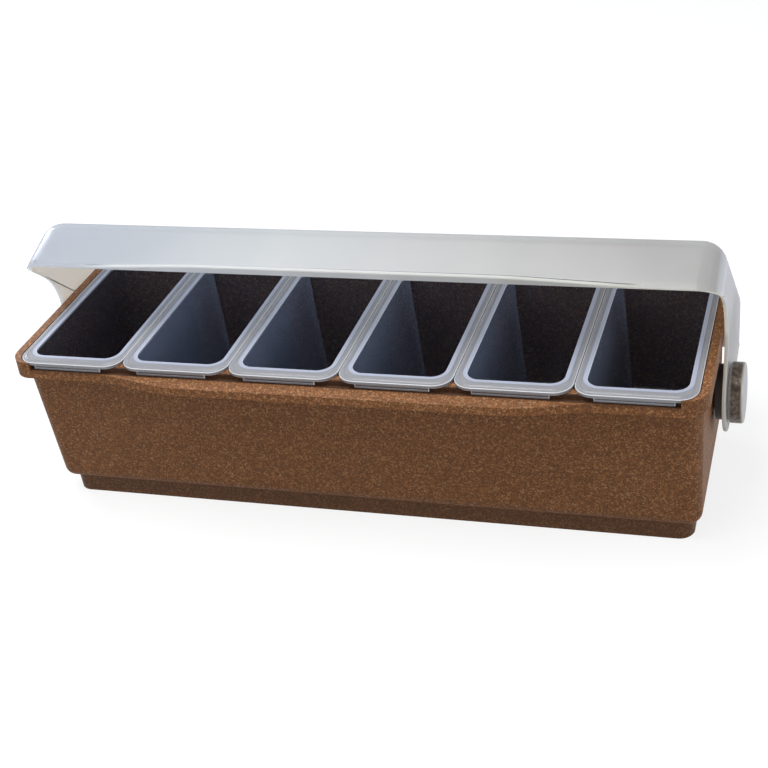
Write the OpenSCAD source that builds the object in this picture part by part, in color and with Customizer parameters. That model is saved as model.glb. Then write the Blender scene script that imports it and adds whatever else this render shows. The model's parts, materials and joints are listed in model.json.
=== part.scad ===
// Condiment caddy: a drafted tray that carries six lift-out inserts in a row,
// under one clear hood that tilts on a pivot knob at each end.
// Millimetres. X runs along the row, Y towards the back, Z up.
// The origin is the centre of the tray's underside, on the table.

/* [Inserts] */
// Distance from one insert to the next along the row
insert_pitch = 76; // [74:0.5:78]
// Gap between neighbouring insert flanges
flange_gap = 0.6; // [0.4:0.1:1.2]
// Front to back size of an insert flange
flange_depth = 142; // [140:0.5:142]
// Plan radius of the flange corners
flange_corner = 12; // [10:0.5:13]
// Thickness of the flange
flange_thick = 2.2; // [1.8:0.1:2.4]
// Width of the insert's mouth
mouth_width = 62.3; // [60:0.1:62.5]
// Front to back size of the insert's mouth
mouth_depth = 124.6; // [120:0.2:124.6]
// Plan radius of the mouth corners
mouth_corner = 9; // [9:0.5:10]
// Wall thickness of an insert
insert_wall = 1.1; // [1:0.1:1.2]
// Height of an insert, from flange top to underside
insert_height = 84; // [70:1:86]
// How far each insert wall leans in from mouth to floor
insert_lean = 5.4; // [4.6:0.1:5.4]
// Radius between the insert's walls and its floor
insert_floor_radius = 3.5; // [2.5:0.5:3.5]
// Width of the finger tab that hangs from the flange
tab_width = 49; // [40:1:52]
// Height of the finger tab, from flange top to lower edge
tab_height = 4.8; // [4:0.1:5]

/* [Tray] */
// Height of the rim above the table
rim_height = 118; // [117.5:0.1:118.1]
// Width of the rim beyond the end flanges
rim_border = 5.8; // [5.6:0.1:5.8]
// Half of the rim's front to back size
rim_half_depth = 74.3; // [74.2:0.1:75]
// Plan radius of the rim corners
rim_corner = 14; // [13:0.5:16]
// Height of the skirt that turns down from the rim
skirt_height = 11.3; // [10:0.1:12]
// Thickness of the skirt
skirt_thick = 2.2; // [2:0.1:2.4]
// How far the tray's end walls stand in from the skirt's face
wall_end_inset = 4; // [3.9:0.1:4.3]
// How far the tray's long walls stand in from the skirt's face
wall_inset = 7.3; // [7:0.1:7.3]
// Thickness of the tray wall
wall_thick = 2; // [1.8:0.1:2]
// How far the tray wall leans in between rim and foot
wall_lean = 2.9; // [2.6:0.1:3.2]
// Plan radius of the tray wall at the rim
wall_corner = 12; // [12:0.5:15]
// Radius that turns the tray wall in to the foot
heel_radius = 8; // [6:0.5:9]
// Height of the foot
foot_height = 13.5; // [10:0.5:15]
// How far the foot stands in from the bottom of the long walls
foot_inset = 4.6; // [3.5:0.1:5]
// How far the foot stands in from the bottom of the end walls
foot_end_inset = 5.8; // [5:0.1:7]
// Plan radius of the foot corners
foot_corner = 10; // [8:0.5:13]
// Thickness of the tray's floor
floor_thick = 2.4; // [2:0.1:3]
// How far the middle of the front rim bows out
bow_depth = 9.5; // [6:0.5:10]
// Half length of the bow, from the middle to where it dies out
bow_half = 172; // [150:1:180]
// Half length of the bow's flat front
bow_flat = 108; // [80:1:120]
// Half length of the recess that the tabs hang in
recess_half = 218; // [216:0.5:218.5]

/* [Hood] */
// How far the hood stands open in this pose, in degrees
hood_open = 44.4; // [0:0.1:44.4]
// Pivot axis: distance behind the middle of the tray
pivot_back = 9; // [8.9:0.1:9.1]
// Pivot axis: height above the table
pivot_height = 69; // [69:0.1:69.3]
// Half length of the hood over its end walls
hood_half = 237.6; // [237.6:0.1:238.2]
// Wall thickness of the hood
hood_wall = 2.4; // [2:0.1:2.4]
// Outer radius of the hood's rounded edges
hood_edge = 16; // [16:0.1:16.4]
// How far the finger lip reaches out in the middle
lip_reach = 10; // [6:0.5:11]
// Thickness of the finger lip
lip_thick = 2.6; // [2:0.1:3]
// Half length of the finger lip
lip_half = 190; // [170:1:195]
// Radius of the ear round the pivot
ear_radius = 25.8; // [24:0.1:27]
// Radius of the web's hollow front edge
web_hollow = 38; // [34:1:40]

/* [Pivots] */
// Diameter of the stud's plain shoulder in the ear
shoulder_dia = 12; // [10:0.1:12]
// Diameter of the stud's threaded end
thread_dia = 8; // [6:0.1:8]
// Radial running clearance of each shaft
running_gap = 0.05; // [0.03:0.01:0.08]
// Diameter of the tray's boss
boss_dia = 22; // [20:0.5:24]
// Outer diameter of the bearing ring round the boss
ring_dia = 36.5; // [32:0.5:38]
// Diameter of the knob
knob_dia = 40; // [36:0.5:41]
// Length of the knob
knob_length = 9.3; // [8.5:0.1:10.5]
// Thickness of the washer between ear and knob
washer_thick = 0.7; // [0.5:0.1:0.7]

/* [Hidden] */
$fn = 64;
hull_fn = 32; // facets of the hood's rounded edges
slack = 0.5; // overrun of a cutter past the face it opens
seat = 1; // overlap of pieces joined into one

insert_count = 6;
row_half = insert_count * insert_pitch / 2;
flange_width = insert_pitch - flange_gap;
flange_setback = 0.8; // from the rim's front face to the flanges
flange_front = flange_setback - rim_half_depth;
flange_middle = flange_front + flange_depth / 2;
flange_under = rim_height - flange_thick;
mouth_middle = -1.2; // the mouth sits behind a wide front flange
insert_under = rim_height - insert_height;
bead_inset = 2.4; // raised line round the flange
bead_width = 1;
bead_height = 0.5;
tab_thick = 1.5;

rim_half = row_half + rim_border;
skirt_under = rim_height - skirt_height;
pocket_clear = 0.7; // shadow gap round the row of flanges
recess_back = 3; // depth of the tab recess in the rim
recess_floor = rim_height - 5.5;
deck_thick = 2.2;
bow_slope = 5.5; // the bow's top falls away to the front, in degrees
bow_fall = 1.2; // drop of the bow's top over its depth
wall_half = rim_half - wall_end_inset;
wall_half_depth = rim_half_depth - wall_inset;
heel_top = foot_height + heel_radius * sin(acos(1 - foot_inset / heel_radius));
wall_axis = [wall_half - wall_corner, wall_half_depth - wall_corner];
foot_half = wall_half - wall_lean - foot_end_inset;
foot_half_depth = wall_half_depth - wall_lean - foot_inset;

ear_inner = hood_half - hood_wall;
ear_gap = 0.7; // between boss and ear
boss_end = ear_inner - ear_gap; // outer face of boss and bearing ring
boss_sink = 3; // how far the boss reaches into the end wall
bore_depth = 6.3;
ring_gap = 0.3; // between bearing ring and end wall
bore_end_gap = 0.3; // between the stud's end and the bore's bottom
shoulder_gap = 0.05; // between the stud's shoulder and the boss
shoulder_start = boss_end + shoulder_gap;
washer_gap = 0.1; // between ear and washer
washer_inner = hood_half + washer_gap;
washer_step = 3; // how far the washer stands inside the knob's edge
knob_inner = washer_inner + washer_thick;
knob_outer = knob_inner + knob_length;
knob_round = 1.5; // radius of the knob's edges
cap_dia = knob_dia - 5;
cap_recess = 1.2;
// Hood outline, closed, as [back, up] from the pivot: centres of its rounded edges
hood_centres = [[-78.6, 42.3], [-66.6, 65.6], [43, 68.5], [57, 34]];
hood_rim = 43.6; // the hood's lower edge above the pivot, closed
lip_root = -94; // where the lip joins the front wall
lip_front = -96.4; // front face of the wall at the lip
web_rear = [[53, 36], [45, 28], [22, 12]];

// A rectangle with round corners, given by its half sizes
module round_plan(half_x, half_y, corner) {
    square([2 * half_x, 2 * (half_y - corner)], center = true);
    square([2 * (half_x - corner), 2 * half_y], center = true);
    for (side_x = [-1, 1], side_y = [-1, 1])
        translate([side_x * (half_x - corner), side_y * (half_y - corner)])
            circle(corner);
}

// Smooth step from 0 to 1
function ease(t) = let (c = max(0, min(1, t))) c * c * (3 - 2 * c);

// A lens-like strip along the front that swells by reach over its flat middle
module front_swell(reach, half, flat, face, root) {
    steps = 12;
    function swell(x) = face - reach * ease((half - abs(x)) / (half - flat));
    rise = [for (i = [0 : steps]) -half + (half - flat) * i / steps];
    fall = [for (i = [0 : steps]) flat + (half - flat) * i / steps];
    polygon(concat(
        [for (x = rise) [x, swell(x)]],
        [for (x = fall) [x, swell(x)]],
        [[half, root], [-half, root]]));
}

// Carries a section round a rectangle; the section's x is the distance out from the corner axes
module carry_round(axis_x, axis_y) {
    for (turn = [0, 180]) rotate(turn) {
        translate([-axis_x, axis_y, 0])
            rotate([90, 0, 90]) linear_extrude(2 * axis_x) children();
        translate([axis_x, axis_y, 0])
            rotate([90, 0, 0]) linear_extrude(2 * axis_y) children();
        translate([axis_x, axis_y, 0])
            rotate_extrude(angle = 90) children();
        translate([-axis_x, axis_y, 0])
            rotate(90) rotate_extrude(angle = 90) children();
    }
}

// Section of a leaning wall with a round heel, filled in to the corner axis
module wall_section(top_x, top_z, heel_x, heel_z, radius, floor_z) {
    centre_x = heel_x - radius;
    polygon([[0, floor_z], [centre_x, floor_z], [centre_x, heel_z],
             [heel_x, heel_z], [top_x, top_z], [0, top_z]]);
    intersection() {
        translate([centre_x, heel_z]) circle(radius);
        translate([centre_x, floor_z]) square([radius, heel_z - floor_z]);
    }
}

// A tub: the section above carried round, with its middle filled
module tub(axis, top_x, top_z, heel_x, heel_z, radius, floor_z) {
    carry_round(axis[0], axis[1])
        wall_section(top_x, top_z, heel_x, heel_z, radius, floor_z);
    translate([-axis[0], -axis[1], floor_z])
        cube([2 * axis[0], 2 * axis[1], top_z - floor_z]);
}

module at_pivot() {
    translate([0, pivot_back, pivot_height]) children();
}

// A round bar along X between two places
module bar(start_x, end_x, dia) {
    translate([start_x, 0, 0]) rotate([0, 90, 0]) cylinder(h = end_x - start_x, d = dia);
}

module rim_outline(inset) {
    round_plan(rim_half - inset, rim_half_depth - inset, rim_corner - inset);
    front_swell(bow_depth, bow_half - inset, bow_flat, -rim_half_depth + inset, 0);
}

// The rim with its down-turned skirt, before the trough is opened
module rim() {
    difference() {
        translate([0, 0, skirt_under])
            linear_extrude(skirt_height) rim_outline(0);
        // Hollow behind the skirt
        translate([0, 0, skirt_under - slack])
            linear_extrude(recess_floor - deck_thick - bow_fall - skirt_under + slack)
                rim_outline(skirt_thick);
        difference() {
            translate([0, 0, skirt_under])
                linear_extrude(flange_under - deck_thick - skirt_under)
                    round_plan(rim_half - skirt_thick, rim_half_depth - skirt_thick,
                               rim_corner - skirt_thick);
            translate([-rim_half, -2 * rim_half_depth - wall_half_depth, 0])
                cube([2 * rim_half, 2 * rim_half_depth, rim_height]);
        }
        // Recess for the tabs, and the bow's falling top
        translate([-recess_half, -2 * rim_half_depth, recess_floor])
            cube([2 * recess_half, rim_half_depth + recess_back, skirt_height]);
        translate([0, -rim_half_depth, recess_floor]) rotate([bow_slope, 0, 0])
            translate([-recess_half, -2 * bow_depth, 0])
                cube([2 * recess_half, 2 * bow_depth, skirt_height]);
        // Pocket for the flanges
        translate([0, flange_middle, flange_under])
            linear_extrude(flange_thick + slack)
                round_plan(row_half - flange_gap / 2 + pocket_clear,
                           flange_depth / 2 + pocket_clear, flange_corner + pocket_clear);
    }
}

module tray_inside() {
    inner = wall_corner - wall_thick;
    tub(wall_axis, inner, rim_height + slack, inner - wall_lean, heel_top,
        heel_radius - wall_thick, foot_height + wall_thick);
    translate([0, 0, floor_thick])
        linear_extrude(foot_height)
            round_plan(foot_half - wall_thick, foot_half_depth - wall_thick,
                       foot_corner - wall_thick);
}

module tray() {
    color("saddlebrown") difference() {
        union() {
            rim();
            tub(wall_axis, wall_corner, flange_under, wall_corner - wall_lean, heel_top,
                heel_radius, foot_height);
            linear_extrude(foot_height + seat) round_plan(foot_half, foot_half_depth, foot_corner);
            at_pivot() for (side = [0, 180]) rotate(side) bar(wall_half - boss_sink, boss_end, boss_dia);
        }
        tray_inside();
        at_pivot() for (side = [0, 180]) rotate(side)
            bar(boss_end - bore_depth, boss_end + slack, shoulder_dia + 2 * running_gap);
    }
}

// One insert, centred on its own place in the row
module insert_pan() {
    axis = [mouth_width / 2 - mouth_corner, mouth_depth / 2 - mouth_corner];
    outer = mouth_corner + insert_wall;
    difference() {
        union() {
            translate([0, flange_middle, flange_under])
                linear_extrude(flange_thick)
                    round_plan(flange_width / 2, flange_depth / 2, flange_corner);
            translate([0, flange_middle, rim_height - seat])
                linear_extrude(seat + bead_height) bead_plan();
            translate([0, mouth_middle, 0])
                tub(axis, outer, rim_height - flange_thick / 2, outer - insert_lean,
                    insert_under + insert_floor_radius + insert_wall,
                    insert_floor_radius + insert_wall, insert_under);
            translate([-tab_width / 2, flange_front, rim_height - tab_height])
                cube([tab_width, tab_thick, tab_height - seat / 2]);
        }
        translate([0, mouth_middle, 0])
            tub(axis, mouth_corner, rim_height + slack, mouth_corner - insert_lean,
                insert_under + insert_floor_radius + insert_wall,
                insert_floor_radius, insert_under + insert_wall);
    }
}

module bead_plan() {
    difference() {
        round_plan(flange_width / 2 - bead_inset, flange_depth / 2 - bead_inset,
                   flange_corner - bead_inset);
        round_plan(flange_width / 2 - bead_inset - bead_width,
                   flange_depth / 2 - bead_inset - bead_width,
                   flange_corner - bead_inset - bead_width);
    }
}

module insert_at(place) {
    color("lightsteelblue")
        translate([(place - (insert_count + 1) / 2) * insert_pitch, 0, 0]) insert_pan();
}

// A ball whose facets lie on the true radius
module ball(radius) {
    sphere(r = radius / cos(180 / hull_fn), $fn = hull_fn);
}

// The hood's round-edged block, with its edges rolled to the given radius
module hood_block(radius) {
    hull()
        for (side = [-1, 1], centre = hood_centres)
            translate([side * (hood_half - hood_edge), centre[0], centre[1]]) ball(radius);
}

// The web that carries each end wall down to its ear, in the [back, up] plane
module web_plan() {
    hollow_up = hood_rim - web_hollow;
    hollow_back = -sqrt(pow(web_hollow + ear_radius, 2) - pow(hollow_up, 2));
    circle(ear_radius);
    difference() {
        polygon(concat(
            [[0, 0], [hollow_back, hollow_up], [hollow_back, hood_rim + seat],
             [web_rear[0][0], hood_rim + seat]], web_rear));
        translate([hollow_back, hollow_up]) circle(web_hollow);
    }
}

module hood() {
    color("gainsboro", 0.6) at_pivot() rotate([-hood_open, 0, 0]) difference() {
        union() {
            difference() {
                hood_block(hood_edge);
                hood_block(hood_edge - hood_wall);
                translate([-hood_half - slack, -2 * hood_half, hood_rim - 2 * hood_half])
                    cube([2 * (hood_half + slack), 4 * hood_half, 2 * hood_half]);
            }
            translate([0, 0, hood_rim]) linear_extrude(lip_thick)
                front_swell(lip_reach, lip_half, lip_half / 2, lip_front, lip_root);
            for (side = [-1, 1])
                translate([side > 0 ? ear_inner : -hood_half, 0, 0])
                    rotate([90, 0, 90]) linear_extrude(hood_wall) web_plan();
        }
        for (side = [0, 180]) rotate([0, 0, side])
            bar(ear_inner - slack, hood_half + slack, shoulder_dia + 2 * running_gap);
    }
}

// Pieces of one pivot, built for the right end; the left end is the same turned half round
module at_end(side) {
    at_pivot() rotate(side == "left" ? 180 : 0) children();
}

module bearing_ring(side) {
    root = wall_half + ring_gap;
    color("saddlebrown") at_end(side) difference() {
        bar(root, boss_end, ring_dia);
        bar(root - slack, boss_end + slack, boss_dia);
    }
}

module thread_insert(side) {
    color("goldenrod") at_end(side) difference() {
        bar(boss_end - bore_depth, boss_end, shoulder_dia);
        bar(boss_end - bore_depth - slack, boss_end + slack, thread_dia + 2 * running_gap);
    }
}

module pivot_stud(side) {
    color("silver") at_end(side) {
        bar(boss_end - bore_depth + bore_end_gap, shoulder_start + seat, thread_dia);
        bar(shoulder_start, knob_inner + knob_length / 2, shoulder_dia);
    }
}

module washer(side) {
    color("whitesmoke") at_end(side) difference() {
        bar(washer_inner, knob_inner, knob_dia - 2 * washer_step);
        bar(washer_inner - slack, knob_inner + slack, shoulder_dia);
    }
}

module knob(side) {
    color("dimgray") at_end(side) difference() {
        translate([knob_inner, 0, 0]) rotate([0, 90, 0]) rotate_extrude() {
            square([knob_dia / 2 - knob_round, knob_length]);
            translate([0, knob_round]) square([knob_dia / 2, knob_length - 2 * knob_round]);
            for (up = [knob_round, knob_length - knob_round])
                translate([knob_dia / 2 - knob_round, up]) circle(knob_round);
        }
        bar(knob_outer - cap_recess, knob_outer + slack, cap_dia);
        bar(knob_inner - slack, knob_inner + knob_length / 2, shoulder_dia);
    }
}

module knob_cap(side) {
    color("lightsteelblue") at_end(side) bar(knob_outer - cap_recess, knob_outer, cap_dia);
}

tray();
hood();
insert_at(1);  // insert_1
insert_at(2);  // insert_2
insert_at(3);  // insert_3
insert_at(4);  // insert_4
insert_at(5);  // insert_5
insert_at(6);  // insert_6
bearing_ring("left");  // bearing_ring_left
bearing_ring("right");  // bearing_ring_right
thread_insert("left");  // thread_insert_left
thread_insert("right");  // thread_insert_right
pivot_stud("left");  // pivot_stud_left
pivot_stud("right");  // pivot_stud_right
washer("left");  // washer_left
washer("right");  // washer_right
knob("left");  // knob_left
knob("right");  // knob_right
knob_cap("left");  // knob_cap_left
knob_cap("right");  // knob_cap_right
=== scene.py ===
import bpy
import json
import math
from mathutils import Matrix, Vector

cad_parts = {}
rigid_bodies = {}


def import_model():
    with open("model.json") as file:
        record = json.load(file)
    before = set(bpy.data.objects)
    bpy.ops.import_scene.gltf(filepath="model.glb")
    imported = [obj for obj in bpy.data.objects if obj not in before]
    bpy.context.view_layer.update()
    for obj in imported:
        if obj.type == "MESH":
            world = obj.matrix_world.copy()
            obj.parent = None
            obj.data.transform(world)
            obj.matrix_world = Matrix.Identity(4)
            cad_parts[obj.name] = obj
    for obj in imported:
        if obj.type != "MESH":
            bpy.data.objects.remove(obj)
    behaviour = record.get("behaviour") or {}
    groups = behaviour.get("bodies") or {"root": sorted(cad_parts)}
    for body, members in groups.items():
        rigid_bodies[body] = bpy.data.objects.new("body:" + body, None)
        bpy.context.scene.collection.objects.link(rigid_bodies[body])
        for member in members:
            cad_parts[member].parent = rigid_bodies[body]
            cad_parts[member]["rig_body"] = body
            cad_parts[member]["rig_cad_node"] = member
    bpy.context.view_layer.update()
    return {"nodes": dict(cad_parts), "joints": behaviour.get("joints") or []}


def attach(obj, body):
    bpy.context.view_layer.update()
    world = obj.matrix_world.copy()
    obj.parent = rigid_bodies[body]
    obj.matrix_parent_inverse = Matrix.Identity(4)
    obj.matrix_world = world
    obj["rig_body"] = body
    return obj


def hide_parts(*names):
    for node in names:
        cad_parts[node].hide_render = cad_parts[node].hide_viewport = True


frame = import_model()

nodes = frame["nodes"]
mm = 0.001


def hexColour(code):
    # sRGB hex to the linear colour that the shaders take
    parts = [int(code[i:i + 2], 16) / 255 for i in (1, 3, 5)]
    linear = [p / 12.92 if p <= 0.04045 else ((p + 0.055) / 1.055) ** 2.4 for p in parts]
    return (*linear, 1.0)


def addNode(tree, kind, links=(), stops=(), **settings):
    # links fills the inputs, in order or by name or number, each with a value, a hex colour, a socket
    # or a node, which gives its first output in use; a Mix of colours has its share at 0 and its
    # colours at 6 and 7; stops are a ramp's places, each with a hex colour or a grey level
    node = tree.nodes.new("ShaderNode" + kind)
    for name, value in settings.items():
        setattr(node, name, value)
    for place, _ in stops[2:]:
        node.color_ramp.elements.new(place)
    for entry, (place, tone) in zip(node.color_ramp.elements if stops else (), stops):
        entry.position = place
        entry.color = hexColour(tone) if isinstance(tone, str) else (tone, tone, tone, 1)
    for name, value in links.items() if isinstance(links, dict) else enumerate(links):
        if isinstance(value, bpy.types.Node):
            value = next(output for output in value.outputs if output.enabled)
        if isinstance(value, bpy.types.NodeSocket):
            tree.links.new(value, node.inputs[name])
        else:
            node.inputs[name].default_value = hexColour(value) if isinstance(value, str) else value
    return node


def newMaterial(name):
    # the material, its empty tree and the place in object coordinates
    material = bpy.data.materials.new(name)
    material.use_nodes = True
    tree = material.node_tree
    tree.nodes.clear()
    return material, tree, addNode(tree, "TexCoord").outputs["Object"]


def dress(piece, *materials):
    piece.data.materials.clear()
    for material in materials:
        piece.data.materials.append(material)


# camera: the photograph's view, fitted to the row of inserts and the tray's edges
cameraView = {
    "place": (0.3140, -0.7437, 0.5893),
    "turn": 18.08,      # degrees to the left of straight back
    "down": 31.58,
    "roll": -6.98,
    "lens": 65.1,
    "sensor": 36,       # a square frame
    "shift": (-0.1158, -0.0622),
    "near": 10 * mm,
}


def makeCamera():
    turn, down, roll = (math.radians(cameraView[name]) for name in ("turn", "down", "roll"))
    forward = Vector((-math.sin(turn) * math.cos(down), math.cos(turn) * math.cos(down), -math.sin(down)))
    right = Vector((math.cos(turn), math.sin(turn), 0))
    up = right.cross(forward)
    imageRight = right * math.cos(roll) + up * math.sin(roll)
    imageUp = up * math.cos(roll) - right * math.sin(roll)
    data = bpy.data.cameras.new("camera")
    data.lens = cameraView["lens"]
    data.sensor_width = cameraView["sensor"]
    data.shift_x, data.shift_y = cameraView["shift"]
    data.clip_start = cameraView["near"]
    camera = bpy.data.objects.new("camera", data)
    bpy.context.scene.collection.objects.link(camera)
    frameAxes = Matrix((imageRight, imageUp, -forward)).transposed().to_4x4()
    camera.matrix_world = Matrix.Translation(cameraView["place"]) @ frameAxes
    bpy.context.scene.camera = camera


makeCamera()
print("camera placed")


def pickOnly(piece):
    bpy.ops.object.select_all(action="DESELECT")
    piece.select_set(True)
    bpy.context.view_layer.objects.active = piece


def roundedCopy(nodeName, pieceName, body, edges, looks, shape=None):
    # the CAD node's mesh, merged, with its flat faces whole again and its sharp edges rounded
    source = nodes[nodeName]
    piece = source.copy()
    piece.data = source.data.copy()
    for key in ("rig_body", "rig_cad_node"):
        if key in piece:
            del piece[key]
    piece.parent = None
    piece.name = pieceName
    dress(piece, *looks)
    dress(source, looks[0])
    bpy.context.scene.collection.objects.link(piece)
    pickOnly(piece)
    bpy.ops.object.mode_set(mode="EDIT")
    bpy.ops.mesh.select_all(action="SELECT")
    bpy.ops.mesh.remove_doubles(threshold=edges["merge"])
    bpy.ops.mesh.dissolve_limited(angle_limit=math.radians(edges["flat"]), delimit=set())
    bpy.ops.mesh.vert_connect_concave()     # a ring of flat faces stays a ring
    bpy.ops.object.mode_set(mode="OBJECT")
    if shape:
        shape(piece)
    bevel = piece.modifiers.new("edges", "BEVEL")
    bevel.width = edges["width"]
    bevel.segments = edges["segments"]
    bevel.limit_method = "ANGLE"
    bevel.angle_limit = math.radians(edges["sharp"])
    bevel.use_clamp_overlap = edges["clamp"]
    bevel.material = edges["look"]      # which of the looks the roundings take
    bpy.ops.object.modifier_apply(modifier="edges")
    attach(piece, body)
    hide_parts(nodeName)
    return piece


def finishCopy(piece):
    # smooth shading up to the sharp edges, with the flat faces kept flat
    pickOnly(piece)
    bpy.ops.object.shade_smooth_by_angle(angle=math.radians(40))
    weigh = piece.modifiers.new("normals", "WEIGHTED_NORMAL")
    weigh.keep_sharp = True
    bpy.ops.object.modifier_apply(modifier="normals")


# Tray

trayLook = {
    "edges": {"merge": 0.02 * mm, "flat": 0.8, "width": 0.8 * mm, "segments": 3, "sharp": 32,
              "clamp": True, "look": 0},
    "chip": 0.9 * mm,       # one ground chip; real ones are about 0.4 mm, drawn coarser so that they show
    "cloud": 30 * mm,
    "grain": 0.6 * mm,
    "chips": 0.66,          # how far the chips stand out from the ground colour
    "chipTones": ((0.0, "#180b05"), (0.3, "#45260f"), (0.55, "#744622"), (0.8, "#a3683a"), (1.0, "#cda578")),
    "foot": 13.5 * mm,      # height of the foot
    "footShade": 0.5,
    "skirtUnder": 106.7 * mm,
    "skirtFlare": 1.2 * mm,     # how far the skirt's lower edge stands out along the front
    "frontCorner": (-60.3 * mm, -74.3 * mm),
    "skirtInside": -69.3 * mm,
}
# the recess behind the tabs, where painted shade goes
tabRecess = {"front": -74.8 * mm, "depth": 5 * mm, "soft": 0.8 * mm, "top": 117.2 * mm, "tall": 8 * mm,
             "half": 218 * mm, "shadeStrength": 0.85}


def flareSkirt(piece):
    # the front of the skirt leans out a little at its lower edge
    start, end = trayLook["frontCorner"]
    near = 0.3 * mm
    for vertex in piece.data.vertices:
        share = min(max((vertex.co.y - start) / (end - start), 0), 1)
        if abs(vertex.co.z - trayLook["skirtUnder"]) < near and vertex.co.y < trayLook["skirtInside"]:
            vertex.co.y -= trayLook["skirtFlare"] * share


def recessShadeMask(tree, axes):
    # painted shade: the recess behind the tabs, under the flange, darkened as if shadow falls in it
    across, back, height = axes.outputs
    front, top = tabRecess["front"], tabRecess["top"]
    sideways = addNode(tree, "Math", (across,), operation="ABSOLUTE")
    mask = addNode(tree, "MapRange", {"Value": back, "From Min": front,
                                      "From Max": front + tabRecess["soft"], "To Max": tabRecess["shadeStrength"]})
    for value, kind, limit in ((back, "LESS_THAN", front + tabRecess["depth"]), (height, "LESS_THAN", top),
                               (height, "GREATER_THAN", top - tabRecess["tall"]),
                               (sideways, "LESS_THAN", tabRecess["half"])):
        inside = addNode(tree, "Math", (value, limit), operation=kind)
        mask = addNode(tree, "Math", (mask, inside), operation="MULTIPLY")
    return mask


def trayPlastic():
    # polypropylene filled with ground bark: dark and rusty chips in brown, with a dry sheen
    material, tree, place = newMaterial("bark-filled polypropylene, moulded")
    axes = addNode(tree, "SeparateXYZ", (place,))
    cloud = addNode(tree, "TexNoise", {
        "Vector": place, "Scale": 1 / trayLook["cloud"], "Detail": 3, "Roughness": 0.55})
    ground = addNode(tree, "ValToRGB", (cloud,), ((0.3, "#6e4428"), (0.7, "#7e5237")))
    chips = addNode(tree, "TexVoronoi", {"Vector": place, "Scale": 1 / trayLook["chip"]})
    tone = addNode(tree, "SeparateColor", (chips.outputs["Color"],))
    chipColour = addNode(tree, "ValToRGB", (tone,), trayLook["chipTones"])
    body = addNode(tree, "Mix", {0: trayLook["chips"], 6: ground, 7: chipColour}, data_type="RGBA")
    grain = addNode(tree, "TexNoise", {
        "Vector": place, "Scale": 1 / trayLook["grain"], "Detail": 2, "Roughness": 0.6})
    grainColour = addNode(tree, "ValToRGB", (grain,), ((0.3, "#35200f"), (0.7, "#a4703f")))
    body = addNode(tree, "Mix", {0: 0.35, 6: body, 7: grainColour}, data_type="RGBA")
    # painted shade along the foot: below the foot's height the brown is mixed halfway towards near black
    foot = addNode(tree, "MapRange", {
        "Value": axes.outputs["Z"], "From Min": trayLook["foot"] + mm, "From Max": trayLook["foot"] - mm,
        "To Max": trayLook["footShade"]})
    body = addNode(tree, "Mix", {0: foot, 6: body, 7: "#22120a"}, data_type="RGBA")     # painted shade: the foot, set back under the heel, darkened
    # painted shade in the recess behind the tabs
    body = addNode(tree, "Mix", {0: recessShadeMask(tree, axes), 6: body, 7: "#2a160c"}, data_type="RGBA")
    rough = addNode(tree, "ValToRGB", (grain,), ((0.2, 0.5), (0.8, 0.7)))
    normal = addNode(tree, "Bump", {"Height": grain, "Strength": 0.3, "Distance": 0.1 * mm})
    shader = addNode(tree, "BsdfPrincipled", {
        "Base Color": body, "Roughness": rough, "IOR": 1.49, "Specular IOR Level": 0.3, "Normal": normal})
    addNode(tree, "OutputMaterial", {"Surface": shader})
    return material


trayShell = roundedCopy("tray", "tray_shell", "tray", trayLook["edges"], (trayPlastic(),), flareSkirt)
finishCopy(trayShell)
print("tray done")


# Hood

hinge = next(joint for joint in frame["joints"] if joint["name"] == "hood_hinge")
hoodPivot = Vector(hinge["pos_m"])
hoodOpen = math.radians(-hinge["range_deg"][0])
hoodLook = {
    "edges": {"merge": 0.06 * mm, "flat": 0.3, "width": 0.7 * mm, "segments": 3, "sharp": 40,
              "clamp": False, "look": 1},
    # sizes of the shut hood, measured from its pivot
    "rim": 43.6 * mm,       # height of the lower edge
    "upright": 0.28 * mm,   # the panel stands upright so far, and leans back above
    "lean": 0.198,          # mm back for each mm of height
    "front": -94.6 * mm,    # the panel's outside at its lower edge
    "wall": 2.4 * mm,
    "half": 237.6 * mm,
    "webFront": -60 * mm,
    "lipThick": 2.6 * mm,
    "lipHalf": 190 * mm,
    "lipFade": 26 * mm,     # length over which the lip runs out into the panel
    # colours from left to right, at these shares of the length; the wall's carry painted light and shade,
    # bluer and a little darker at the left, darkest at the right end
    "tintPlaces": (0.05, 0.4, 0.68, 0.9),
    "wallTintAndShade": ("#c2c7cf", "#d2d5d6", "#cbcbca", "#bebdbc"),
    "rimTint": ("#f4f6f8", "#f6f6f4", "#f6f6f2", "#fbf9ee"),
    # painted shade for the crease along the lip's upper edge, darker to the right
    "creaseShadeStops": ((0.2, "#bfc4c9"), (0.7, "#8a8d90"), (1.0, "#505255")),
    "endOuter": "#f6f9ff",
    "endInnerBounce": "#ebe3d6",
    "outline": "#8d929c",
    "cloud": 60 * mm,
    "frost": 0.5 * mm,      # real frosting is ten times finer, drawn coarser so that it breaks the gloss
    "frostDepth": 0.03 * mm,
}


def shutPlace(point):
    # a point or direction of the open hood, seen from the pivot with the hood shut
    return Matrix.Rotation(hoodOpen, 3, "X") @ point


def markRims(piece):
    # before the rounding: the rims take the rim's look
    near, nearInside = 0.2 * mm, 0.1 * mm
    for face in piece.data.polygons:
        shut = shutPlace(Vector(face.center) - hoodPivot)
        normal = shutPlace(Vector(face.normal))
        underside = normal.z < -0.95 and abs(shut.z - hoodLook["rim"]) < near
        inside = hoodLook["half"] - hoodLook["wall"] - nearInside
        inWeb = abs(shut.x) > inside and shut.z < hoodLook["rim"]
        if underside or (inWeb and abs(normal.x) < 0.5):
            face.material_index = 1


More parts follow.
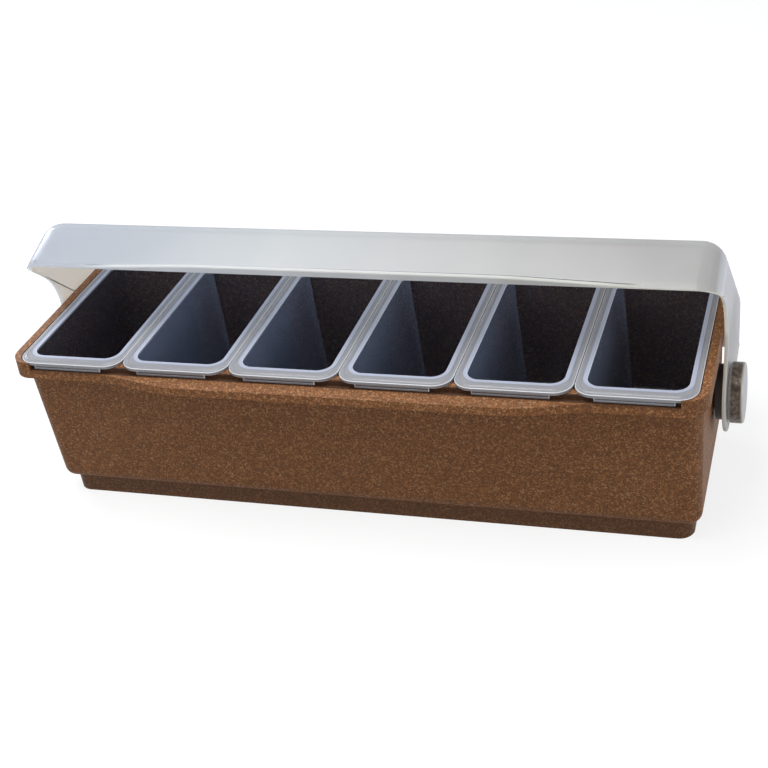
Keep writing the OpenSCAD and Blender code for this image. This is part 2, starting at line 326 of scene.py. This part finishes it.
def markLip(piece):
    # after the rounding: the lip takes its own two looks, and folds away from the rims the wall's
    past, near, nearTop = 0.2 * mm, 0.3 * mm, 0.6 * mm
    for face in piece.data.polygons:
        shut = shutPlace(Vector(face.center) - hoodPivot)
        normal = shutPlace(Vector(face.normal))
        atPanel = (abs(shut.x) < hoodLook["lipHalf"] + mm and shut.y < hoodLook["front"] + near
                   and shut.z < hoodLook["rim"] + hoodLook["lipThick"] + nearTop)
        inLip = shut.y < hoodLook["front"] - past or atPanel
        if inLip and normal.z > 0.15:
            face.material_index = 3
        elif inLip and normal.z > -0.9:
            face.material_index = 2
        elif shut.z > hoodLook["rim"] + mm:
            face.material_index = 0


def fadeLip(piece):
    # the lip runs out smoothly into the panel at both ends
    turnBack = Matrix.Rotation(-hoodOpen, 3, "X")
    lipTop = hoodLook["rim"] + hoodLook["lipThick"] + mm
    for vertex in piece.data.vertices:
        shut = shutPlace(vertex.co - hoodPivot)
        fade = min((abs(shut.x) - hoodLook["lipHalf"]) / hoodLook["lipFade"] + 1, 1)
        leaning = max(shut.z - hoodLook["rim"] - hoodLook["upright"], 0)
        panel = hoodLook["front"] + leaning * hoodLook["lean"]
        if shut.y < panel and shut.z < lipTop and fade > 0:
            shut.y += (panel - shut.y) * fade ** 2 * (3 - 2 * fade)
            vertex.co = turnBack @ shut + hoodPivot


def flushWeb(piece):
    # the web carries on from the end wall without a step
    inside = hoodLook["half"] - hoodLook["wall"]
    near = 0.8 * mm
    for vertex in piece.data.vertices:
        shut = shutPlace(vertex.co - hoodPivot)
        atRim = abs(shut.z - hoodLook["rim"]) < mm and shut.y > hoodLook["webFront"]
        if atRim and abs(abs(shut.x) - inside) < near:
            vertex.co.x = math.copysign(inside, shut.x)


def frosted(tree, place, tint, clear, throughShare=0.45):
    # a frosted wall: soft gloss, some light let through, and a little of what lies behind
    grain = addNode(tree, "TexNoise", {
        "Vector": place, "Scale": 1 / hoodLook["frost"], "Detail": 2, "Roughness": 0.5})
    normal = addNode(tree, "Bump", {"Height": grain, "Strength": 0.12, "Distance": hoodLook["frostDepth"]})
    skin = addNode(tree, "BsdfPrincipled", {
        "Base Color": tint, "Roughness": 0.24, "IOR": 1.58, "Normal": normal})
    through = addNode(tree, "BsdfTranslucent", {"Color": tint, "Normal": normal})
    veil = addNode(tree, "MixShader", (throughShare, skin, through))
    window = addNode(tree, "BsdfTransparent", {"Color": "#fafbfc"})
    # a lamp's light comes through a frosted wall more than a picture does
    shadowRay = addNode(tree, "LightPath").outputs["Is Shadow Ray"]
    share = addNode(tree, "Math", (shadowRay, 0.55 - clear, clear), operation="MULTIPLY_ADD")
    return addNode(tree, "MixShader", (share, veil, window))


def hoodTint(tree, place, tints):
    # smoky grey, with painted light and shade along the length: bluer and a little darker to the left,
    # palest in the middle, darker and warmer to the right; the end walls are paler outside and take a
    # painted warm bounce from the brown tray inside
    along = addNode(tree, "SeparateXYZ", (place,)).outputs["X"]
    share = addNode(tree, "MapRange", {
        "Value": along, "From Min": -hoodLook["half"], "From Max": hoodLook["half"]})
    tint = addNode(tree, "ValToRGB", (share,), tuple(zip(hoodLook["tintPlaces"], tints)))
    cloud = addNode(tree, "TexNoise", {
        "Vector": place, "Scale": 1 / hoodLook["cloud"], "Detail": 2, "Roughness": 0.5})
    cloud = addNode(tree, "ValToRGB", (cloud,), ((0.3, 0.35), (0.7, 0.6)))
    tint = addNode(tree, "Mix", {0: 0.12, 6: tint, 7: cloud}, data_type="RGBA", blend_type="OVERLAY")
    normal = addNode(tree, "NewGeometry").outputs["Normal"]
    sideways = addNode(tree, "SeparateXYZ", (normal,)).outputs["X"]
    side = addNode(tree, "Math", (along,), operation="SIGN")
    outward = addNode(tree, "Math", (sideways, side), operation="MULTIPLY")
    # the end walls: paler on their outer faces, and on their inner faces a painted warm bounce from the
    # brown tray
    for sign, colour in ((1, hoodLook["endOuter"]), (-1, hoodLook["endInnerBounce"])):
        endWall = addNode(tree, "MapRange", {
            "Value": outward, "From Min": 0.7 * sign, "From Max": 0.95 * sign})
        tint = addNode(tree, "Mix", {0: endWall, 6: tint, 7: colour}, data_type="RGBA")
    # seen edge on, there is more plastic to look through
    edgeOn = addNode(tree, "LayerWeight", {"Blend": 0.5}).outputs["Facing"]
    edgeOn = addNode(tree, "Math", (edgeOn, 6.0), operation="POWER")
    edgeOn = addNode(tree, "Math", (edgeOn, 0.75), operation="MULTIPLY")
    return addNode(tree, "Mix", {0: edgeOn, 6: tint, 7: hoodLook["outline"]}, data_type="RGBA")


def lipShare(tree, along):
    # 1 along the lip, falling to 0 where it runs out into the panel
    sideways = addNode(tree, "Math", (along,), operation="ABSOLUTE")
    return addNode(tree, "MapRange", {"Value": sideways, "From Min": hoodLook["lipHalf"],
                                      "From Max": hoodLook["lipHalf"] - hoodLook["lipFade"]})


def hoodWall():
    # polycarbonate with a blasted mould face: milky grey, with a soft gloss
    material, tree, place = newMaterial("polycarbonate, frosted")
    tint = hoodTint(tree, place, hoodLook["wallTintAndShade"])
    addNode(tree, "OutputMaterial", {"Surface": frosted(tree, place, tint, 0.12)})
    return material


def hoodRim():
    # its cut edges gather light and show nearly white
    material, tree, place = newMaterial("polycarbonate edge, frosted")
    tint = hoodTint(tree, place, hoodLook["rimTint"])
    addNode(tree, "OutputMaterial", {"Surface": frosted(tree, place, tint, 0.02)})
    return material


def lipFace():
    # the lip is thicker, so it is whiter than the wall; its whiteness is also partly a painted highlight,
    # where the lip faces up to the light
    material, tree, place = newMaterial("polycarbonate lip, frosted")
    along = addNode(tree, "SeparateXYZ", (place,)).outputs["X"]
    wall, rim = (hoodTint(tree, place, hoodLook[name]) for name in ("wallTintAndShade", "rimTint"))
    tint = addNode(tree, "Mix", {0: lipShare(tree, along), 6: wall, 7: rim}, data_type="RGBA")
    addNode(tree, "OutputMaterial", {"Surface": frosted(tree, place, tint, 0.06)})
    return material


def lipCreaseShade():
    # painted shade: a fine grey line along the lip's upper edge, where it meets the panel, darker towards
    # the right end
    material, tree, place = newMaterial("polycarbonate edge, painted crease shade")
    along = addNode(tree, "SeparateXYZ", (place,)).outputs["X"]
    share = addNode(tree, "MapRange", {
        "Value": along, "From Min": -hoodLook["lipHalf"], "From Max": hoodLook["lipHalf"]})
    line = addNode(tree, "ValToRGB", (share,), hoodLook["creaseShadeStops"])
    wall = hoodTint(tree, place, hoodLook["wallTintAndShade"])
    tint = addNode(tree, "Mix", {0: lipShare(tree, along), 6: wall, 7: line}, data_type="RGBA")
    addNode(tree, "OutputMaterial", {"Surface": frosted(tree, place, tint, 0.06, 0.2)})
    return material


hoodShell = roundedCopy("hood", "hood_shell", "hood", hoodLook["edges"],
                        (hoodWall(), hoodRim(), lipFace(), lipCreaseShade()), markRims)
markLip(hoodShell)
fadeLip(hoodShell)
flushWeb(hoodShell)
finishCopy(hoodShell)
print("hood done")


# Inserts

insertLook = {
    "edges": {"merge": 0.02 * mm, "flat": 0.5, "width": 0.38 * mm, "segments": 2, "sharp": 32,
              "clamp": False, "look": 1},
    "count": 6,
    "pitch": 76 * mm,
    "top": 118 * mm,
    "mouth": (62.3 * mm, 124.6 * mm),
    "mouthMiddle": -1.2 * mm,
    "mouthCorner": 9 * mm,
    "band": 2.6 * mm,       # paler band round the mouth
    "flange": (75.4 * mm, 142 * mm),
    "flangeMiddle": -2.5 * mm,
    "flangeCorner": 12 * mm,
    "flangeThick": 0.7 * mm,
    "flangeDepth": 5 * mm,  # with what hangs below it
    "wallSkin": 1.4 * mm,   # how far the walls reach outside the mouth
    "bead": (1.2 * mm, 4.5 * mm),   # distances inside the flange's edge
    "front": -73.5 * mm,    # the flange's front edge, where the tab hangs
    "tabDepth": 2 * mm,
    "tabBelow": 2.4 * mm,
    "wallHaze": 0.045,      # share of light that a wall scatters instead of letting through
    "leftLitHaze": 0.23,
    "bandHaze": 0.85,
    "flangeHaze": 0.66,
    "tabHaze": 0.18,
    "edgeHaze": 0.9,
}


def mouthDistance(tree, axes):
    # metres outside the insert's mouth, a rounded rectangle repeated along the row
    pitch, corner = insertLook["pitch"], insertLook["mouthCorner"]
    across = addNode(tree, "Math", (axes.outputs["X"], pitch, 0.0), operation="WRAP")
    squares = []
    for step, middle, width in ((across, pitch / 2, insertLook["mouth"][0]),
                                (axes.outputs["Y"], insertLook["mouthMiddle"], insertLook["mouth"][1])):
        for kind, other in (("SUBTRACT", middle), ("ABSOLUTE", 0), ("SUBTRACT", width / 2 - corner),
                            ("MAXIMUM", 0), ("POWER", 2)):
            step = addNode(tree, "Math", (step, other), operation=kind)
        squares.append(step)
    reach = addNode(tree, "Math", squares, operation="ADD")
    reach = addNode(tree, "Math", (reach,), operation="SQRT")
    return addNode(tree, "Math", (reach, corner), operation="SUBTRACT")


def insertPlastic():
    # styrene from a polished mould: haze and gloss over what lies behind, paler round the mouth,
    # clearest in the tab
    material, tree, place = newMaterial("styrene, moulded clear")
    axes = addNode(tree, "SeparateXYZ", (place,))
    across, back, height = axes.outputs
    outside = mouthDistance(tree, axes)
    normal = addNode(tree, "NewGeometry").outputs["Normal"]
    sideways = addNode(tree, "SeparateXYZ", (normal,)).outputs["X"]
    top, pitch, flangeHaze = (insertLook[name] for name in ("top", "pitch", "flangeHaze"))
    # painted light: the left walls take more haze than the other walls, so that they show paler and bluer
    # where light falls on them, but for the first insert's
    flangeTop, high, beside, band, low, front, left, later = (
        addNode(tree, "Math", (value, limit), operation=kind) for value, kind, limit in (
            (height, "GREATER_THAN", top - insertLook["flangeThick"]),
            (height, "GREATER_THAN", top - insertLook["flangeDepth"]),
            (outside, "GREATER_THAN", insertLook["wallSkin"]),
            (outside, "LESS_THAN", insertLook["band"]),
            (height, "LESS_THAN", top - insertLook["tabBelow"]),
            (back, "LESS_THAN", insertLook["front"] + insertLook["tabDepth"]),
            (sideways, "GREATER_THAN", 0.6),
            (across, "GREATER_THAN", (1 - insertLook["count"]) / 2 * pitch)))
    flange = addNode(tree, "Math", (high, beside), operation="MULTIPLY")
    flange = addNode(tree, "Math", (flangeTop, flange), operation="MAXIMUM")
    tab = addNode(tree, "Math", (low, front), operation="MULTIPLY")
    litLeftWall = addNode(tree, "Math", (left, later), operation="MULTIPLY")
    haze = flangeHaze
    for mask, name in ((band, "bandHaze"), (tab, "tabHaze")):
        haze = addNode(tree, "Math", (mask, insertLook[name] - flangeHaze, haze), operation="MULTIPLY_ADD")
    wall = addNode(tree, "Math", (litLeftWall, insertLook["leftLitHaze"] - insertLook["wallHaze"],
                                  insertLook["wallHaze"]), operation="MULTIPLY_ADD")
    more = addNode(tree, "Math", (haze, wall), operation="SUBTRACT")
    haze = addNode(tree, "Math", (flange, more, wall), operation="MULTIPLY_ADD")
    tint = addNode(tree, "Mix", {0: band, 6: "#a8a9ae", 7: "#b2b9cd"}, data_type="RGBA")
    tint = addNode(tree, "Mix", {0: flange, 6: "#a9b8d6", 7: tint}, data_type="RGBA")
    addNode(tree, "OutputMaterial", {"Surface": clearPlastic(tree, tint, haze)})
    return material


def insertEdge():
    # the rounded edges gather light and show as pale lines
    material, tree, _ = newMaterial("styrene edge, moulded clear")
    addNode(tree, "OutputMaterial", {"Surface": clearPlastic(tree, "#e2e4e8", insertLook["edgeHaze"])})
    return material


def clearPlastic(tree, tint, haze):
    # a clear wall with some haze in it, and a gloss that grows towards grazing angles
    window = addNode(tree, "BsdfTransparent", {"Color": "#dfe1e6"})
    milk = addNode(tree, "BsdfDiffuse", {"Color": tint})
    cloudy = addNode(tree, "MixShader", (haze, window, milk))
    facing = addNode(tree, "LayerWeight", {"Blend": 0.5}).outputs["Facing"]
    glance = addNode(tree, "Math", (facing, 5.0), operation="POWER")
    glance = addNode(tree, "Math", (glance, 0.9, 0.04), operation="MULTIPLY_ADD")
    shine = addNode(tree, "BsdfGlossy", {"Color": "#ffffff", "Roughness": 0.22})
    return addNode(tree, "MixShader", (glance, cloudy, shine))


def plainBead(pan, middle):
    # the raised bead on the flange is as cloudy as the flange, and only the outer edges are pale
    halfX, halfY = (side / 2 for side in insertLook["flange"])
    corner = insertLook["flangeCorner"]
    start, end = insertLook["bead"]
    for face in pan.data.polygons:
        pastX = max(abs(face.center.x - middle) - halfX + corner, 0)
        pastY = max(abs(face.center.y - insertLook["flangeMiddle"]) - halfY + corner, 0)
        inBead = start < corner - math.hypot(pastX, pastY) < end
        if face.material_index == 1 and inBead and face.center.z > insertLook["top"] - mm:
            face.material_index = 0


panLooks = (insertPlastic(), insertEdge())
for number in range(1, insertLook["count"] + 1):
    pan = roundedCopy(f"insert_{number}", f"insert_pan_{number}", f"insert_{number}",
                      insertLook["edges"], panLooks)
    plainBead(pan, (number - (insertLook["count"] + 1) / 2) * insertLook["pitch"])
    finishCopy(pan)
print("inserts done")


# Pivots

pivotLook = {"grain": 0.5 * mm, "grainDepth": 0.02 * mm}
knobLook = {
    "middle": 243.05 * mm,
    "half": 4.65 * mm,
    "highlightReach": (1.8 * mm, 0.3 * mm),   # from the knob's ends: where the painted highlight on the rounded edge starts and is full
    "blotch": 3.5 * mm,
    "stain": ((0.35, "#362c24"), (0.52, "#584c41"), (0.7, "#80776d")),
    "edgeHighlight": "#b9b5ae",
}


def plainLook(name, colour, roughness, metallic=0.0):
    material, tree, place = newMaterial(name)
    grain = addNode(tree, "TexNoise", {
        "Vector": place, "Scale": 1 / pivotLook["grain"], "Detail": 2, "Roughness": 0.5})
    tone = addNode(tree, "ValToRGB", (grain,), ((0.3, 0.25), (0.7, 0.75)))
    shade = addNode(tree, "Mix", {0: 0.25, 6: colour, 7: tone}, data_type="RGBA", blend_type="OVERLAY")
    normal = addNode(tree, "Bump", {"Height": grain, "Strength": 0.15, "Distance": pivotLook["grainDepth"]})
    shader = addNode(tree, "BsdfPrincipled", {
        "Base Color": shade, "Roughness": roughness, "Metallic": metallic, "Normal": normal})
    addNode(tree, "OutputMaterial", {"Surface": shader})
    return material


def knobMetal():
    # cast zinc, tumbled and stained: brown-grey blotches, with a pale painted highlight on its rounded edges
    material, tree, place = newMaterial("zinc, cast and tumbled")
    blotch = addNode(tree, "TexNoise", {
        "Vector": place, "Scale": 1 / knobLook["blotch"], "Detail": 4, "Roughness": 0.6})
    stain = addNode(tree, "ValToRGB", (blotch,), knobLook["stain"])
    offset = addNode(tree, "SeparateXYZ", (place,)).outputs["X"]
    for kind, other in (("ABSOLUTE", 0), ("SUBTRACT", knobLook["middle"]), ("ABSOLUTE", 0)):
        offset = addNode(tree, "Math", (offset, other), operation=kind)
    start, full = (knobLook["half"] - highlightReach for highlightReach in knobLook["highlightReach"])
    # painted highlight: the rounded edges at both ends are painted pale
    edgeHighlight = addNode(tree, "MapRange", {"Value": offset, "From Min": start, "From Max": full})
    tint = addNode(tree, "Mix", {0: edgeHighlight, 6: stain, 7: knobLook["edgeHighlight"]}, data_type="RGBA")
    normal = addNode(tree, "Bump", {"Height": blotch, "Strength": 0.2, "Distance": 0.05 * mm})
    shader = addNode(tree, "BsdfPrincipled", {
        "Base Color": tint, "Roughness": 0.38, "Metallic": 0.45, "Normal": normal})
    addNode(tree, "OutputMaterial", {"Surface": shader})
    return material


pivotLooks = {
    "bearing_ring": plainLook("dark acetal, turned, with painted shade", "#1f1713", 0.5),           # nearly black, soft sheen; partly the acetal's own colour, partly painted shade for the dark gap between the wall and the ear
    "thread_insert": plainLook("brass, machined", "#b5945a", 0.32, 1.0),        # warm yellow shine
    "pivot_stud": plainLook("steel, turned", "#b4b3b0", 0.3, 1.0),              # grey shine
    "washer": plainLook("nylon, punched", "#d9d4c6", 0.5),                      # creamy, matt
    "knob_cap": plainLook("aluminium, fine satin", "#9298a0", 0.34, 0.6),       # pale blue-grey
    "knob": knobMetal(),
}
for side in ("left", "right"):
    for kind, look in pivotLooks.items():
        dress(nodes[f"{kind}_{side}"], look)
print("pivots done")


# Stage

stageLook = {
    "size": 12,
    "paint": "#848484",
    "glow": 0.8,            # what the floor shows of itself to rays that see it directly
    "air": "#f2f5fa",
    "airLight": 0.34,
}
lamps = (
    # name, place, aimed at, size, watts, colour
    ("top softbox", (-0.25, -0.05, 1.35), (0, 0, 0.1), (1.1, 0.8), 17, "#ffffff"),
    ("left softbox", (-1.4, 0.85, 0.65), (-0.23, 0, 0.15), (0.25, 0.8), 10, "#dfeaff"),
    ("right softbox", (1.5, -0.4, 0.6), (0.1, 0, 0.1), (0.8, 0.8), 7, "#f4f8ff"),
    ("front softbox", (-0.6, -1.7, 0.8), (0, 0, 0.1), (1.2, 0.8), 6, "#fff6ec"),
)


def seenDirectly(tree):
    # 1 for rays that show the background: straight to the camera, mirrored or through something clear
    path = addNode(tree, "LightPath").outputs
    seen = addNode(tree, "Math", (path["Is Camera Ray"], path["Is Glossy Ray"]), operation="MAXIMUM")
    return addNode(tree, "Math", (seen, path["Is Transmission Ray"]), operation="MAXIMUM")


def makeFloor():
    bpy.ops.mesh.primitive_plane_add(size=stageLook["size"], location=(0, 0, 0))
    floor = bpy.context.object
    floor.name = "floor"
    # painted board, matt; seen directly it is white, and its paint keeps the object's shadow
    material, tree, _ = newMaterial("pale board, painted matt")
    paint = addNode(tree, "BsdfDiffuse", {"Color": stageLook["paint"]})
    glow = addNode(tree, "Emission", {"Color": "#ffffff", "Strength": stageLook["glow"]})
    shown = addNode(tree, "AddShader", (glow, paint))
    shader = addNode(tree, "MixShader", (seenDirectly(tree), paint, shown))
    addNode(tree, "OutputMaterial", {"Surface": shader})
    dress(floor, material)


def makeWorld():
    world = bpy.data.worlds.new("studio")
    world.use_nodes = True
    bpy.context.scene.world = world
    tree = world.node_tree
    tree.nodes.clear()
    soft = addNode(tree, "Background", {"Color": stageLook["air"], "Strength": stageLook["airLight"]})
    white = addNode(tree, "Background", {"Color": "#ffffff", "Strength": 1.0})
    addNode(tree, "OutputWorld", {"Surface": addNode(tree, "MixShader", (seenDirectly(tree), soft, white))})


def makeLamps():
    for name, place, aim, size, watts, colour in lamps:
        data = bpy.data.lights.new(name, "AREA")
        data.shape = "RECTANGLE"
        data.size, data.size_y = size
        data.energy = watts
        data.color = hexColour(colour)[:3]
        lamp = bpy.data.objects.new(name, data)
        lamp.location = place
        lamp.rotation_euler = (Vector(aim) - Vector(place)).to_track_quat("-Z", "Y").to_euler()
        bpy.context.scene.collection.objects.link(lamp)


makeFloor()
makeWorld()
makeLamps()
print("stage done")
bpy.context.scene.view_settings.view_transform = "Standard"
